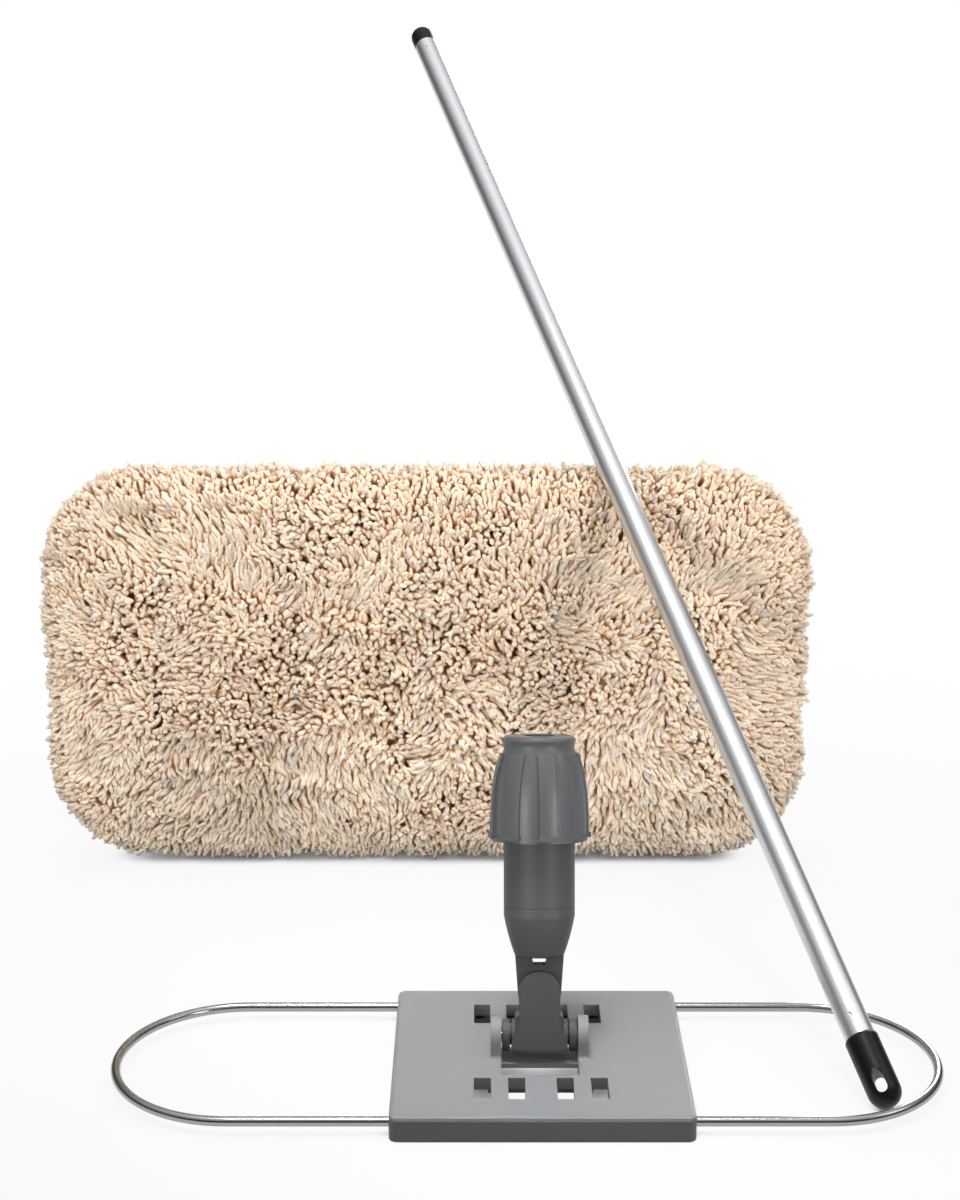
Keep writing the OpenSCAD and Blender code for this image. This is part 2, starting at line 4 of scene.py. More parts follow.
import bpy
import numpy as np
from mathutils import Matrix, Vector


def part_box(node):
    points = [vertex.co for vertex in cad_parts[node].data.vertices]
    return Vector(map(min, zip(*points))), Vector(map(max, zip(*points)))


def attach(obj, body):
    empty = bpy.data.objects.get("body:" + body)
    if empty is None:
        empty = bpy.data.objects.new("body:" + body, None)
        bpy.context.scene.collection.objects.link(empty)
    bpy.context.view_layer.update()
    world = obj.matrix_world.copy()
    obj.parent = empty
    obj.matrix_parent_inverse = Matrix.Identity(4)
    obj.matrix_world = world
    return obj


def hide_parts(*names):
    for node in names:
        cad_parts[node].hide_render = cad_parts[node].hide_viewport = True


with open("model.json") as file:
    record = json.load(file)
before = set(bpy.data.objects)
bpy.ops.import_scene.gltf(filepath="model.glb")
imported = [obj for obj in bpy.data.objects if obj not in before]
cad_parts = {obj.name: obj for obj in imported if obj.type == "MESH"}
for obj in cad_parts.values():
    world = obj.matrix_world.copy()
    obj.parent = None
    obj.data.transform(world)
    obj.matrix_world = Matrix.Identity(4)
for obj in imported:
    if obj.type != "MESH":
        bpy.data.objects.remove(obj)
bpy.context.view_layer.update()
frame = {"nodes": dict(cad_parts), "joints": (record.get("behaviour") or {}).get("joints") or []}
nodes = frame["nodes"]
mm = 0.001
dice = np.random.default_rng(24)
bpy.context.scene.view_settings.view_transform = "Standard"
print("frame loaded,", len(nodes), "CAD nodes")


def linear(hexColour):
    parts = [int(hexColour[i:i + 2], 16) / 255 for i in (1, 3, 5)]
    return tuple(c / 12.92 if c <= 0.04045 else ((c + 0.055) / 1.055) ** 2.4 for c in parts) + (1.0,)


def addNode(tree, kind, settings=None, links=None):
    node = tree.nodes.new(kind)
    for key, value in (settings or {}).items():
        if isinstance(key, int) or key in node.inputs:
            node.inputs[key].default_value = value
        else:
            setattr(node, key, value)
    for key, socket in (links or {}).items():
        tree.links.new(socket, node.inputs[key])
    return node


def newMaterial(name):
    material = bpy.data.materials.new(name)
    material.use_nodes = True
    tree = material.node_tree
    return material, tree, tree.nodes["Principled BSDF"]


# A wave texture repeats every pi / 10 of its own units
def waveScale(pitch):
    return math.pi / 10 / pitch


# Injection moulded plastic: an even grey with a fine spark-eroded grain and softly lit edges
def mouldedPlastic(name, light, dark, roughness, grain, edge):
    material, tree, shader = newMaterial(name)
    place = addNode(tree, "ShaderNodeTexCoord").outputs["Object"]
    clouds = addNode(tree, "ShaderNodeTexNoise", {"Scale": 1 / (45 * mm), "Detail": 3.0}, {"Vector": place})
    tone = addNode(
        tree, "ShaderNodeMix", {"data_type": "RGBA", 6: linear(light), 7: linear(dark)}, {0: clouds.outputs["Fac"]}
    )
    fine = addNode(tree, "ShaderNodeTexNoise", {"Scale": 1 / grain, "Detail": 2.0}, {"Vector": place})
    sheen = addNode(
        tree,
        "ShaderNodeMapRange",
        {"From Min": 0.3, "From Max": 0.7, "To Min": roughness - 0.06, "To Max": roughness + 0.06},
        {"Value": fine.outputs["Fac"]},
    )
    soft = addNode(tree, "ShaderNodeBevel", {"samples": 4, "Radius": edge})
    bump = addNode(
        tree,
        "ShaderNodeBump",
        {"Strength": 0.25, "Distance": 0.05 * mm},
        {"Height": fine.outputs["Fac"], "Normal": soft.outputs["Normal"]},
    )
    tree.links.new(tone.outputs[2], shader.inputs["Base Color"])
    tree.links.new(sheen.outputs["Result"], shader.inputs["Roughness"])
    tree.links.new(bump.outputs["Normal"], shader.inputs["Normal"])
    shader.inputs["IOR"].default_value = 1.49
    shader.inputs["Specular IOR Level"].default_value = 0.28
    return material


platePlastic = mouldedPlastic("moulded polypropylene, fine grain", "#8f9193", "#8b8d8f", 0.46, 0.9 * mm, 0.5 * mm)
swivelPlastic = mouldedPlastic("moulded nylon, satin", "#555658", "#505153", 0.5, 0.7 * mm, 0.6 * mm)
nutPlastic = mouldedPlastic("moulded nylon, ribbed grip", "#5f6162", "#595b5c", 0.34, 0.7 * mm, 0.5 * mm)
sleevePlastic = mouldedPlastic("natural acetal, as moulded", "#dcdad3", "#d2d0c8", 0.34, 0.8 * mm, 0.3 * mm)
capPlastic = mouldedPlastic("black polyethylene, as moulded", "#111112", "#0c0c0d", 0.36, 0.8 * mm, 0.6 * mm)


# Bright drawn steel: mirror-like with faint die lines along the wire, coarser than real ones so that they show
steelWire, tree, shader = newMaterial("bright drawn steel wire")
place = addNode(tree, "ShaderNodeTexCoord").outputs["Object"]
dieLine = {"long": 250 * mm, "wide": 1.11 * mm}
drawnScale = (1 / dieLine["long"], 1 / dieLine["wide"], 1 / dieLine["wide"])
drawn = addNode(tree, "ShaderNodeMapping", {"Scale": drawnScale}, {"Vector": place})
lines = addNode(tree, "ShaderNodeTexNoise", {"Scale": 1.0, "Detail": 2.0}, {"Vector": drawn.outputs["Vector"]})
polish = addNode(tree, "ShaderNodeMapRange", {"To Min": 0.16, "To Max": 0.24}, {"Value": lines.outputs["Fac"]})
tree.links.new(polish.outputs["Result"], shader.inputs["Roughness"])
shader.inputs["Base Color"].default_value = linear("#a2a4a6")
shader.inputs["Metallic"].default_value = 1.0


# Drawn aluminium tube, satin anodised: a soft highlight broken by lines that run its length,
# drawn at several times their real spacing so that they show
poleAxis = Vector(next(j["axis"] for j in frame["joints"] if j["name"] == "pole_lift")).normalized()
alongPole = poleAxis.to_track_quat("Z", "Y").to_matrix().transposed()
satinAluminium, tree, shader = newMaterial("drawn aluminium tube, satin anodised")
place = addNode(tree, "ShaderNodeTexCoord").outputs["Object"]
turned = addNode(tree, "ShaderNodeMapping", {"Rotation": alongPole.to_euler()}, {"Vector": place})
poleLine = {"long": 200 * mm, "wide": 2 * mm}
streakScale = (1 / poleLine["wide"], 1 / poleLine["wide"], 1 / poleLine["long"])
streaks = addNode(tree, "ShaderNodeMapping", {"Scale": streakScale}, {"Vector": turned.outputs["Vector"]})
lines = addNode(tree, "ShaderNodeTexNoise", {"Scale": 1.0, "Detail": 3.0}, {"Vector": streaks.outputs["Vector"]})
satin = addNode(tree, "ShaderNodeMapRange", {"To Min": 0.35, "To Max": 0.43}, {"Value": lines.outputs["Fac"]})
tint = addNode(
    tree,
    "ShaderNodeMix",
    {"data_type": "RGBA", 6: linear("#e4e6e8"), 7: linear("#d6d8db")},
    {0: lines.outputs["Fac"]},
)
tree.links.new(tint.outputs[2], shader.inputs["Base Color"])
tree.links.new(satin.outputs["Result"], shader.inputs["Roughness"])
shader.inputs["Metallic"].default_value = 1.0


# Undyed cotton yarn, two-ply: pale at the cut tips, with painted shade that makes it tan towards the roots and down
# between the strands, where an ambient occlusion node finds them hiding each other
yarnTone = {"tip": "#f3ebe1", "tipDark": "#ede2d4", "root": "#cb9856", "ply": 9 * mm, "paintedShadeAO": 9 * mm}
cottonYarn, tree, shader = newMaterial("undyed cotton yarn, two-ply")
marks = addNode(tree, "ShaderNodeAttribute", {"attribute_name": "strand"})
split = addNode(tree, "ShaderNodeSeparateColor", {}, {"Color": marks.outputs["Color"]})
tipTone = addNode(
    tree,
    "ShaderNodeMix",
    {"data_type": "RGBA", 6: linear(yarnTone["tip"]), 7: linear(yarnTone["tipDark"])},
    {0: split.outputs["Green"]},
)
# Painted shade along each strand: the root colour is tan and only the tip end is pale
rootShadeRamp = addNode(
    tree,
    "ShaderNodeMapRange",
    {"From Min": 0.2, "From Max": 0.9, "interpolation_type": "SMOOTHSTEP"},
    {"Value": split.outputs["Red"]},
)
# Painted shade: where this occlusion node finds strands close round, the yarn takes the tan root colour
paintedShadeAO = addNode(tree, "ShaderNodeAmbientOcclusion", {"samples": 6, "Distance": yarnTone["paintedShadeAO"]})
occlusionShadeRamp = addNode(
    tree,
    "ShaderNodeMapRange",
    {"From Min": 0.0, "From Max": 0.62},
    {"Value": paintedShadeAO.outputs["AO"]},
)
unshadedShare = addNode(
    tree, "ShaderNodeMath", {"operation": "MULTIPLY"}, {0: rootShadeRamp.outputs["Result"], 1: occlusionShadeRamp.outputs["Result"]}
)
yarnColourAndShade = addNode(
    tree,
    "ShaderNodeMix",
    {"data_type": "RGBA", 6: linear(yarnTone["root"])},
    {0: unshadedShare.outputs[0], 7: tipTone.outputs[2]},
)
spin = addNode(tree, "ShaderNodeUVMap", {"uv_map": "ply"})
plies = addNode(
    tree,
    "ShaderNodeTexWave",
    # Two plies, so a groove at each half turn
    {"bands_direction": "DIAGONAL", "Scale": waveScale(0.5), "Distortion": 0.4, "Detail": 1.0},
    {"Vector": spin.outputs["UV"]},
)
groove = addNode(
    tree, "ShaderNodeBump", {"Strength": 0.5, "Distance": 0.5 * mm}, {"Height": plies.outputs["Fac"]}
)
tree.links.new(yarnColourAndShade.outputs[2], shader.inputs["Base Color"])
tree.links.new(groove.outputs["Normal"], shader.inputs["Normal"])
# Light goes a few millimetres through loose cotton, and red goes furthest
shader.subsurface_method = "BURLEY"
shader.inputs["Subsurface Weight"].default_value = 1.0
shader.inputs["Subsurface Radius"].default_value = (1.0, 0.78, 0.5)
shader.inputs["Subsurface Scale"].default_value = 4 * mm
shader.inputs["Roughness"].default_value = 0.9
shader.inputs["Specular IOR Level"].default_value = 0.05


# Plain-woven cotton: over-and-under threads, drawn at about twice the real spacing so that they show
def wovenCotton(name, light, dark, pitch):
    material, tree, shader = newMaterial(name)
    place = addNode(tree, "ShaderNodeTexCoord").outputs["Object"]
    warp = addNode(
        tree,
        "ShaderNodeTexWave",
        {"bands_direction": "X", "Scale": waveScale(pitch), "Distortion": 0.6, "Detail": 1.0},
        {"Vector": place},
    )
    weft = addNode(
        tree,
        "ShaderNodeTexWave",
        {"bands_direction": "Z", "Scale": waveScale(pitch), "Distortion": 0.6, "Detail": 1.0},
        {"Vector": place},
    )
    weave = addNode(
        tree, "ShaderNodeMath", {"operation": "MAXIMUM"}, {0: warp.outputs["Fac"], 1: weft.outputs["Fac"]}
    )
    slub = addNode(tree, "ShaderNodeTexNoise", {"Scale": 1 / (12 * mm), "Detail": 4.0}, {"Vector": place})
    mixed = addNode(
        tree, "ShaderNodeMath", {"operation": "MULTIPLY"}, {0: weave.outputs[0], 1: slub.outputs["Fac"]}
    )
    tone = addNode(
        tree, "ShaderNodeMix", {"data_type": "RGBA", 6: linear(dark), 7: linear(light)}, {0: mixed.outputs[0]}
    )
    bump = addNode(
        tree, "ShaderNodeBump", {"Strength": 0.6, "Distance": 0.3 * mm}, {"Height": weave.outputs[0]}
    )
    tree.links.new(tone.outputs[2], shader.inputs["Base Color"])
    tree.links.new(bump.outputs["Normal"], shader.inputs["Normal"])
    shader.inputs["Roughness"].default_value = 0.88
    shader.inputs["Specular IOR Level"].default_value = 0.2
    return material


canvasCloth = wovenCotton("cotton duck canvas, plain weave", "#e9e2d2", "#c9bfa9", 1.7 * mm)
pocketCloth = wovenCotton("cotton duck canvas, pocket weight", "#e4dccb", "#c2b8a2", 1.4 * mm)
tapeCloth = wovenCotton("woven cotton tape", "#f1ebdd", "#d6cdba", 1.1 * mm)
sewingThread, tree, shader = newMaterial("cotton sewing thread")  # matt and a little paler than the canvas
shader.inputs["Base Color"].default_value = linear("#f3eee2")
shader.inputs["Roughness"].default_value = 0.8
print("materials made")

finishes = {
    platePlastic: ["base_plate", "front_retainer", "rear_retainer"],
    steelWire: ["left_wire", "right_wire", "hinge_pin", "swivel_pin", "retainer_screws"],
    swivelPlastic: ["yoke", "socket_tube"],
    nutPlastic: ["collar_nut"],
    sleevePlastic: ["clamp_sleeve"],
    satinAluminium: ["pole_tube"],
    capPlastic: ["pole_plug", "hanging_cap"],
}
for material, names in finishes.items():
    for name in names:
        nodes[name].data.materials.clear()
        nodes[name].data.materials.append(material)
print("rigid pieces finished")


# Mesh from numpy arrays: faces is a list of arrays, each with one corner count
def meshPiece(name, points, faces, material, smooth=True):
    mesh = bpy.data.meshes.new(name)
    points = np.asarray(points, np.float32)
    mesh.vertices.add(len(points))
    mesh.vertices.foreach_set("co", points.ravel())
    corners = np.concatenate([f.ravel() for f in faces])
    counts = np.concatenate([np.full(len(f), f.shape[1]) for f in faces])
    mesh.loops.add(len(corners))
    mesh.loops.foreach_set("vertex_index", corners.astype(np.int32))
    mesh.polygons.add(len(counts))
    mesh.polygons.foreach_set("loop_start", np.concatenate([[0], np.cumsum(counts)[:-1]]).astype(np.int32))
    mesh.polygons.foreach_set("use_smooth", np.full(len(counts), smooth))
    mesh.update(calc_edges=True)
    mesh.validate()
    mesh.materials.append(material)
    piece = bpy.data.objects.new(name, mesh)
    bpy.context.scene.collection.objects.link(piece)
    return piece


yarnLow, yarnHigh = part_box("pad_yarn")
canvasLow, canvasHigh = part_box("pad_backing")
padMid = Vector(((yarnLow.x + yarnHigh.x) / 2, 0, (yarnLow.z + yarnHigh.z) / 2))
padHalf = ((yarnHigh.x - yarnLow.x) / 2, (yarnHigh.z - yarnLow.z) / 2)
canvasHalf = ((canvasHigh.x - canvasLow.x) / 2, (canvasHigh.z - canvasLow.z) / 2)
canvasCorner = 88 * mm

pile = {
    "corner": 96 * mm,
    "spacing": 4.25 * mm,
    "roll": 30 * mm,  # radius of the rolled edge
    "swell": 6 * mm,  # how far the face swells from there to the middle
    "swellIn": 90 * mm,
    "lean": 66 * mm,  # how far the edge strands reach out past their roots
    "leanBand": 170 * mm,
    "radius": 2.55 * mm,
    "gather": 0.16,
    "splay": (2.5 * mm, 5.0 * mm),  # how far tips stray at the edge and in the middle
    "clumps": [(52 * mm, 8 * mm), (20 * mm, 10 * mm)],  # size of a clump and its pull
    "partings": 4,
    "edgeExtra": 0.35,
    "backSpacing": 6.0 * mm,
    "rimSpacing": 1.9 * mm,
    "rimBand": 4.5 * mm,
    "underTape": 6 * mm,  # how far in from the canvas's edge the hanging strands start
    "ragged": (3 * mm, 2.5 * mm),  # least distance in from the outline, and how much it wanders
    "raggedCell": 45 * mm,
    "partingPush": 2.8 * mm,
    "partingSize": (24 * mm, 13 * mm),
    "partingSlit": 3 * mm,
    "uneven": (2.4 * mm, 1.2 * mm),  # how far tips end short, one by one and in patches
    "unevenCell": 22 * mm,
    "lift": 3 * mm,  # how far the face's tips stand past the even face
    "leastDepth": 3.5 * mm,
    "calmBand": 35 * mm,  # near the edge the clumps pull less
    "splayBand": 90 * mm,
    "bendBand": (25 * mm, 75 * mm),
    "wobble": 0.9 * mm,
    "sides": 5,
    "pieces": 6,
}


# Distance in from a rounded rectangle's outline, in the pad's own X and Z
def insetOf(x, z, half, corner):
    qx = np.abs(x) - (half[0] - corner)
    qz = np.abs(z) - (half[1] - corner)
    return corner - np.hypot(np.maximum(qx, 0), np.maximum(qz, 0)) - np.minimum(np.maximum(qx, qz), 0)


# Direction out from the pad's middle line, so that strands fan round the ends
def fanOut(x, z):
    spine = padHalf[0] - padHalf[1]
    dx = x - np.clip(x, -spine, spine)
    size = np.maximum(np.hypot(dx, z), 1e-6)
    return dx / size, z / size


def smoothStep(t):
    t = np.clip(t, 0, 1)
    return t * t * (3 - 2 * t)


# Soft random field with bumps of one size
def softField(x, z, cell):
    wide, tall = int(2.6 * padHalf[0] / cell) + 4, int(2.6 * padHalf[1] / cell) + 4
    grid = dice.normal(size=(wide, tall))
    u, v = x / cell + wide / 2, z / cell + tall / 2
    i, j = np.floor(u).astype(int), np.floor(v).astype(int)
    i, j = np.clip(i, 0, wide - 2), np.clip(j, 0, tall - 2)
    a, b = smoothStep(u - i), smoothStep(v - j)
    low = grid[i, j] * (1 - a) + grid[i + 1, j] * a
    high = grid[i, j + 1] * (1 - a) + grid[i + 1, j + 1] * a
    return low * (1 - b) + high * b


# Depth of the pile's face in front of the canvas
def faceDepth(inset):
    edge = np.sqrt(1 - (1 - np.clip(inset / pile["roll"], 0, 1)) ** 2)
    across = np.clip((inset - pile["roll"]) / pile["swellIn"], 0, 1)
    return pile["roll"] * (1 + edge) + pile["swell"] * np.sqrt(1 - (1 - across) ** 2)


# Depth of the pile's back, where it hangs out past the canvas
def backDepth(inset):
    return pile["roll"] * (1 - np.sqrt(1 - (1 - np.clip(inset / pile["roll"], 0, 1)) ** 2))


# Scattered points inside the pad's ragged outline, all over or in a band along it
def scatter(spacing, band=1.0):
    rowShare = 0.866  # rows of a triangular grid
    rows = int(2 * padHalf[1] / (spacing * rowShare)) + 3
    columns = int(2 * padHalf[0] / spacing) + 3
    j, i = np.mgrid[0:rows, 0:columns]
    x = (i - columns / 2 + 0.5 * (j % 2)) * spacing
    z = (j - rows / 2) * spacing * rowShare
    x, z = x.ravel(), z.ravel()
    x = x + dice.normal(scale=0.22 * spacing, size=x.shape)
    z = z + dice.normal(scale=0.22 * spacing, size=z.shape)
    ragged = pile["ragged"][0] + pile["ragged"][1] * np.minimum(softField(x, z, pile["raggedCell"]) ** 2, 2)
    inset = insetOf(x, z, padHalf, pile["corner"])
    inside = (inset > ragged) & (inset < ragged + band)
    return x[inside], z[inside]


# Tips over the face, more of them on the rolled edge, a thinner layer behind, and a rim between the two
x, z = scatter(pile["spacing"])
inset = insetOf(x, z, padHalf, pile["corner"])
extra = (inset < pile["roll"]) & (dice.random(len(x)) < pile["edgeExtra"])
x = np.concatenate([x, x[extra] + dice.normal(scale=2 * mm, size=extra.sum())])
z = np.concatenate([z, z[extra] + dice.normal(scale=2 * mm, size=extra.sum())])
faceCount = len(x)
bx, bz = scatter(pile["backSpacing"])
hanging = insetOf(bx, bz, canvasHalf, canvasCorner) < pile["underTape"]
rx, rz = scatter(pile["rimSpacing"], pile["rimBand"])
x, z = np.concatenate([x, bx[hanging], rx]), np.concatenate([z, bz[hanging], rz])
count = len(x)
onFace = np.arange(count) < faceCount
onRim = np.arange(count) >= faceCount + hanging.sum()
inset = np.maximum(insetOf(x, z, padHalf, pile["corner"]), 0)
rise = np.where(onRim, dice.uniform(0.04, 0.96, count), onFace)
depth = backDepth(inset) + rise * (faceDepth(inset) - backDepth(inset))

# Clumps make strands lie over together: roots move against the lie, and tips only a little with it
outX, outZ = fanOut(x, z)
lean = pile["lean"] * (1 - smoothStep(inset / pile["leanBand"]))
rootX, rootZ = x - outX * lean, z - outZ * lean
pushX, pushZ, partX, partZ = (np.zeros(count) for _ in range(4))
for cell, pull in pile["clumps"]:
    pushX += pull * softField(x, z, cell)
    pushZ += pull * softField(x, z, cell)
spots = [(-4 * mm, 38 * mm, 0.9)] + [
    (dice.uniform(-0.8, 0.8) * padHalf[0], dice.uniform(-0.7, 0.7) * padHalf[1], dice.uniform(0, math.pi))
    for _ in range(pile["partings"])
]
for spotX, spotZ, angle in spots:
    along = (x - spotX) * math.cos(angle) + (z - spotZ) * math.sin(angle)
    across = (z - spotZ) * math.cos(angle) - (x - spotX) * math.sin(angle)
    fadeOut = np.exp(-((across / pile["partingSize"][1]) ** 2) - (along / pile["partingSize"][0]) ** 2)
    push = pile["partingPush"] * np.tanh(across / pile["partingSlit"]) * fadeOut
    partX -= push * math.sin(angle)
    partZ += push * math.cos(angle)
calm = smoothStep(inset / pile["calmBand"]) * 0.8 + 0.2
splay = pile["splay"][0] + (pile["splay"][1] - pile["splay"][0]) * smoothStep(inset / pile["splayBand"])
tipX = x + partX + pile["gather"] * pushX * calm + 0.35 * splay * dice.normal(size=count)
tipZ = z + partZ + pile["gather"] * pushZ * calm + 0.35 * splay * dice.normal(size=count)
rootX = rootX - pushX * calm + splay * dice.normal(size=count)
rootZ = rootZ - pushZ * calm + splay * dice.normal(size=count)
short = np.abs(dice.normal(scale=pile["uneven"][0], size=count))
depth = depth - short - pile["uneven"][1] * softField(x, z, pile["unevenCell"]) ** 2
depth = np.maximum(depth + pile["lift"] * onFace, pile["leastDepth"])

# A strand that falls over further ends lower
fallen = np.hypot(tipX - rootX, tipZ - rootZ) - lean
depth = np.where(onFace, depth - 0.25 * np.clip(fallen, 0, 30 * mm), depth)

# Each strand is a bend from its root, out of the canvas and over to its tip
root = np.stack([rootX, rootZ, np.full(count, 0.5 * mm)], 1)
tip = np.stack([tipX, tipZ, depth], 1)
# Edge strands run out under the pile before they turn up; those in the middle rise first and then lie over
inner = smoothStep((inset - pile["bendBand"][0]) / pile["bendBand"][1])
bendOut = (0.62 - 0.32 * inner) * lean
bendRise = np.where(onFace, (0.78 + 0.1 * inner) * depth, 0.7 * depth)
bend = np.stack([rootX + outX * bendOut, rootZ + outZ * bendOut, bendRise], 1)
steps = np.array([0.3, 0.56, 0.78, 0.93, 0.99])
thick = np.array([0.92, 1.0, 1.04, 1.0, 0.64])
t = steps[None, :, None]
line = (1 - t) ** 2 * root[:, None] + 2 * t * (1 - t) * bend[:, None] + t * t * tip[:, None]
wobble = dice.normal(scale=pile["wobble"], size=(count, len(steps), 2))
line[:, :, :2] += wobble * (steps[None, :, None] > 0.4)
radius = pile["radius"] * dice.uniform(0.82, 1.16, count)[:, None] * thick[None, :]

# Into the frame: the pad's X, height, and depth towards the viewer
line = np.stack([line[..., 0] + padMid.x, canvasLow.y - line[..., 2], line[..., 1] + padMid.z], -1)
line[..., 2] = np.maximum(line[..., 2], radius + 0.4 * mm)

# The pole lies on the pad's upper edge and presses the strands under it
poleLow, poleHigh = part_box("pole_tube")
poleMid = np.array((poleLow + poleHigh) / 2)
axis = np.array(poleAxis)
poleRadius = 11 * mm
off = line - poleMid
off = off - (off @ axis)[..., None] * axis
gap = np.linalg.norm(off, axis=-1)
near = np.maximum(poleRadius + 1.2 * radius + 0.8 * mm - gap, 0)
line = line + off / np.maximum(gap, 1e-6)[..., None] * near[..., None]

ahead = np.gradient(line, axis=1)
ahead /= np.maximum(np.linalg.norm(ahead, axis=-1, keepdims=True), 1e-9)
side = np.cross(ahead[:, 0], dice.normal(size=(count, 3)))
side = side[:, None] - (side[:, None] * ahead).sum(-1, keepdims=True) * ahead
side /= np.maximum(np.linalg.norm(side, axis=-1, keepdims=True), 1e-9)
over = np.cross(ahead, side)
sides, rings = pile["sides"], len(steps)
angle = np.arange(sides) * 2 * math.pi / sides
twist = np.arange(rings) * 0.7
oval = 1 + 0.14 * np.cos(2 * angle)
turn = angle[None, :] + twist[:, None]
spread = radius[:, :, None, None] * oval[None, None, :, None]
tube = line[:, :, None] + spread * (
    np.cos(turn)[None, :, :, None] * side[:, :, None] + np.sin(turn)[None, :, :, None] * over[:, :, None]
)
end = line[:, -1] + ahead[:, -1] * radius[:, -1:] * 0.7
perStrand = rings * sides + 1
points = np.concatenate([tube.reshape(count, rings * sides, 3), end[:, None]], 1)

# Quads along a strand, then a fan of triangles over its tip
k, j = np.meshgrid(np.arange(sides), np.arange(rings - 1))
k, j = k.ravel(), j.ravel()
after = (k + 1) % sides
quads = np.stack([j * sides + k, j * sides + after, (j + 1) * sides + after, (j + 1) * sides + k], 1)
last = (rings - 1) * sides
fan = np.stack([last + np.arange(sides), last + (np.arange(sides) + 1) % sides, np.full(sides, rings * sides)], 1)
reach = np.concatenate([[0], np.cumsum(np.linalg.norm(np.diff(line, axis=1), axis=-1).mean(0))]) / yarnTone["ply"]
quadUv = np.stack(
    [np.stack([k, k + 1, k + 1, k], 1) / sides, np.stack([reach[j], reach[j], reach[j + 1], reach[j + 1]], 1)], -1
)
fanUv = np.stack(
    [
        np.stack([np.arange(sides), np.arange(sides) + 1, np.arange(sides) + 0.5], 1) / sides,
        np.tile([reach[-1], reach[-1], reach[-1] + 0.1], (sides, 1)),
    ],
    -1,
)
shade = np.clip(0.5 + 0.12 * softField(x, z, 30 * mm) + dice.normal(scale=0.2, size=count), 0, 1)
marksRoot = np.concatenate([np.repeat(steps, sides), [1.0]])

order = np.argsort(tipX)
for number, members in enumerate(np.array_split(order, pile["pieces"])):
    base = (np.arange(len(members)) * perStrand)[:, None, None]
    strandQuads = (quads[None] + base).reshape(-1, 4)
    strandFans = (fan[None] + base).reshape(-1, 3)
    piece = meshPiece(f"yarnStrands{number + 1}", points[members].reshape(-1, 3), [strandQuads, strandFans], cottonYarn)
    colour = piece.data.color_attributes.new("strand", "FLOAT_COLOR", "POINT")
    values = np.ones((len(members), perStrand, 4), np.float32)
    values[..., 0] = marksRoot[None]
    values[..., 1] = shade[members][:, None]
    colour.data.foreach_set("color", values.ravel())
    layer = piece.data.uv_layers.new(name="ply")
    uv = np.concatenate(
        [np.tile(quadUv.reshape(-1, 2), (len(members), 1)), np.tile(fanUv.reshape(-1, 2), (len(members), 1))]
    )
    layer.data.foreach_set("uv", uv.astype(np.float32).ravel())
    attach(piece, "pad")
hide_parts("pad_yarn")
print("yarn laid,", count, "strands")


# Points of a rounded rectangle's outline, at one inset and at given angles from its middle
def outlineAt(half, corner, inset, angles):
    low, high = np.zeros(len(angles)), np.full(len(angles), 2 * half[0])
    for _ in range(40):
        middle = (low + high) / 2
        inside = insetOf(middle * np.cos(angles), middle * np.sin(angles), half, corner) > inset
        low, high = np.where(inside, middle, low), np.where(inside, high, middle)
    return low * np.cos(angles), low * np.sin(angles)


# Angles that put the points at even steps along the edge
def evenAngles(half, corner, steps):
    fine = np.linspace(0, 2 * math.pi, 3001)
    ex, ez = outlineAt(half, corner, 0, fine)
    run = np.concatenate([[0], np.cumsum(np.hypot(np.diff(ex), np.diff(ez)))])
    return np.interp(np.linspace(0, run[-1], steps, endpoint=False), run, fine), run[-1]


# Closed slab from a front and a back height over an outline, ring by ring to the middle
def slab(name, half, corner, inset, rings, steps, frontY, backY, material):
    angles, _ = evenAngles(half, corner, steps)
    ex, ez = outlineAt(half, corner, inset, angles)
    shares = np.linspace(1, 0.02, rings)
    px, pz = shares[:, None] * ex[None], shares[:, None] * ez[None]
    layers = [np.stack([px + padMid.x, y(px, pz), pz + padMid.z], -1) for y in (frontY, backY)]
    points = np.concatenate([layers[0].reshape(-1, 3), layers[1].reshape(-1, 3)])
    j, k = np.mgrid[0:rings - 1, 0:steps]
    j, k = j.ravel(), k.ravel()
    after = (k + 1) % steps
    face = np.stack([j * steps + k, j * steps + after, (j + 1) * steps + after, (j + 1) * steps + k], 1)
    back = face[:, ::-1] + rings * steps
    ring = np.arange(steps)
    rim = np.stack([ring, ring + rings * steps, (ring + 1) % steps + rings * steps, (ring + 1) % steps], 1)
    middle = (rings - 1) * steps + ring
    return meshPiece(name, points, [face, back, rim, middle[None], middle[None, ::-1] + rings * steps], material)


# Packed roots below the strands' tips, coloured the dark tan of yarn in shade: painted shade for the depth between the
# strands
paintedShadeRoots, tree, shader = newMaterial("cotton yarn roots, painted shade")
place = addNode(tree, "ShaderNodeTexCoord").outputs["Object"]
mottle = addNode(tree, "ShaderNodeTexNoise", {"Scale": 1 / (5 * mm), "Detail": 3.0}, {"Vector": place})
tone = addNode(
    tree,
    "ShaderNodeMix",
    {"data_type": "RGBA", 6: linear("#91693d"), 7: linear("#b18a58")},
    {0: mottle.outputs["Fac"]},
)
tree.links.new(tone.outputs[2], shader.inputs["Base Color"])
shader.inputs["Roughness"].default_value = 0.95


def coreFront(px, pz):
    return canvasLow.y - np.maximum(faceDepth(insetOf(px, pz, padHalf, pile["corner"])) - 11 * mm, 5 * mm)


def coreBack(px, pz):
    return canvasLow.y - 3.5 * mm + 0 * px


pileCore = slab("pileCore", padHalf, pile["corner"], 20 * mm, 24, 160, coreFront, coreBack, paintedShadeRoots)
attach(pileCore, "pad")

backing = {"pucker": 0.35 * mm, "rows": 6, "stitch": 5 * mm, "stitchGap": 1.6 * mm, "thread": 0.55 * mm}


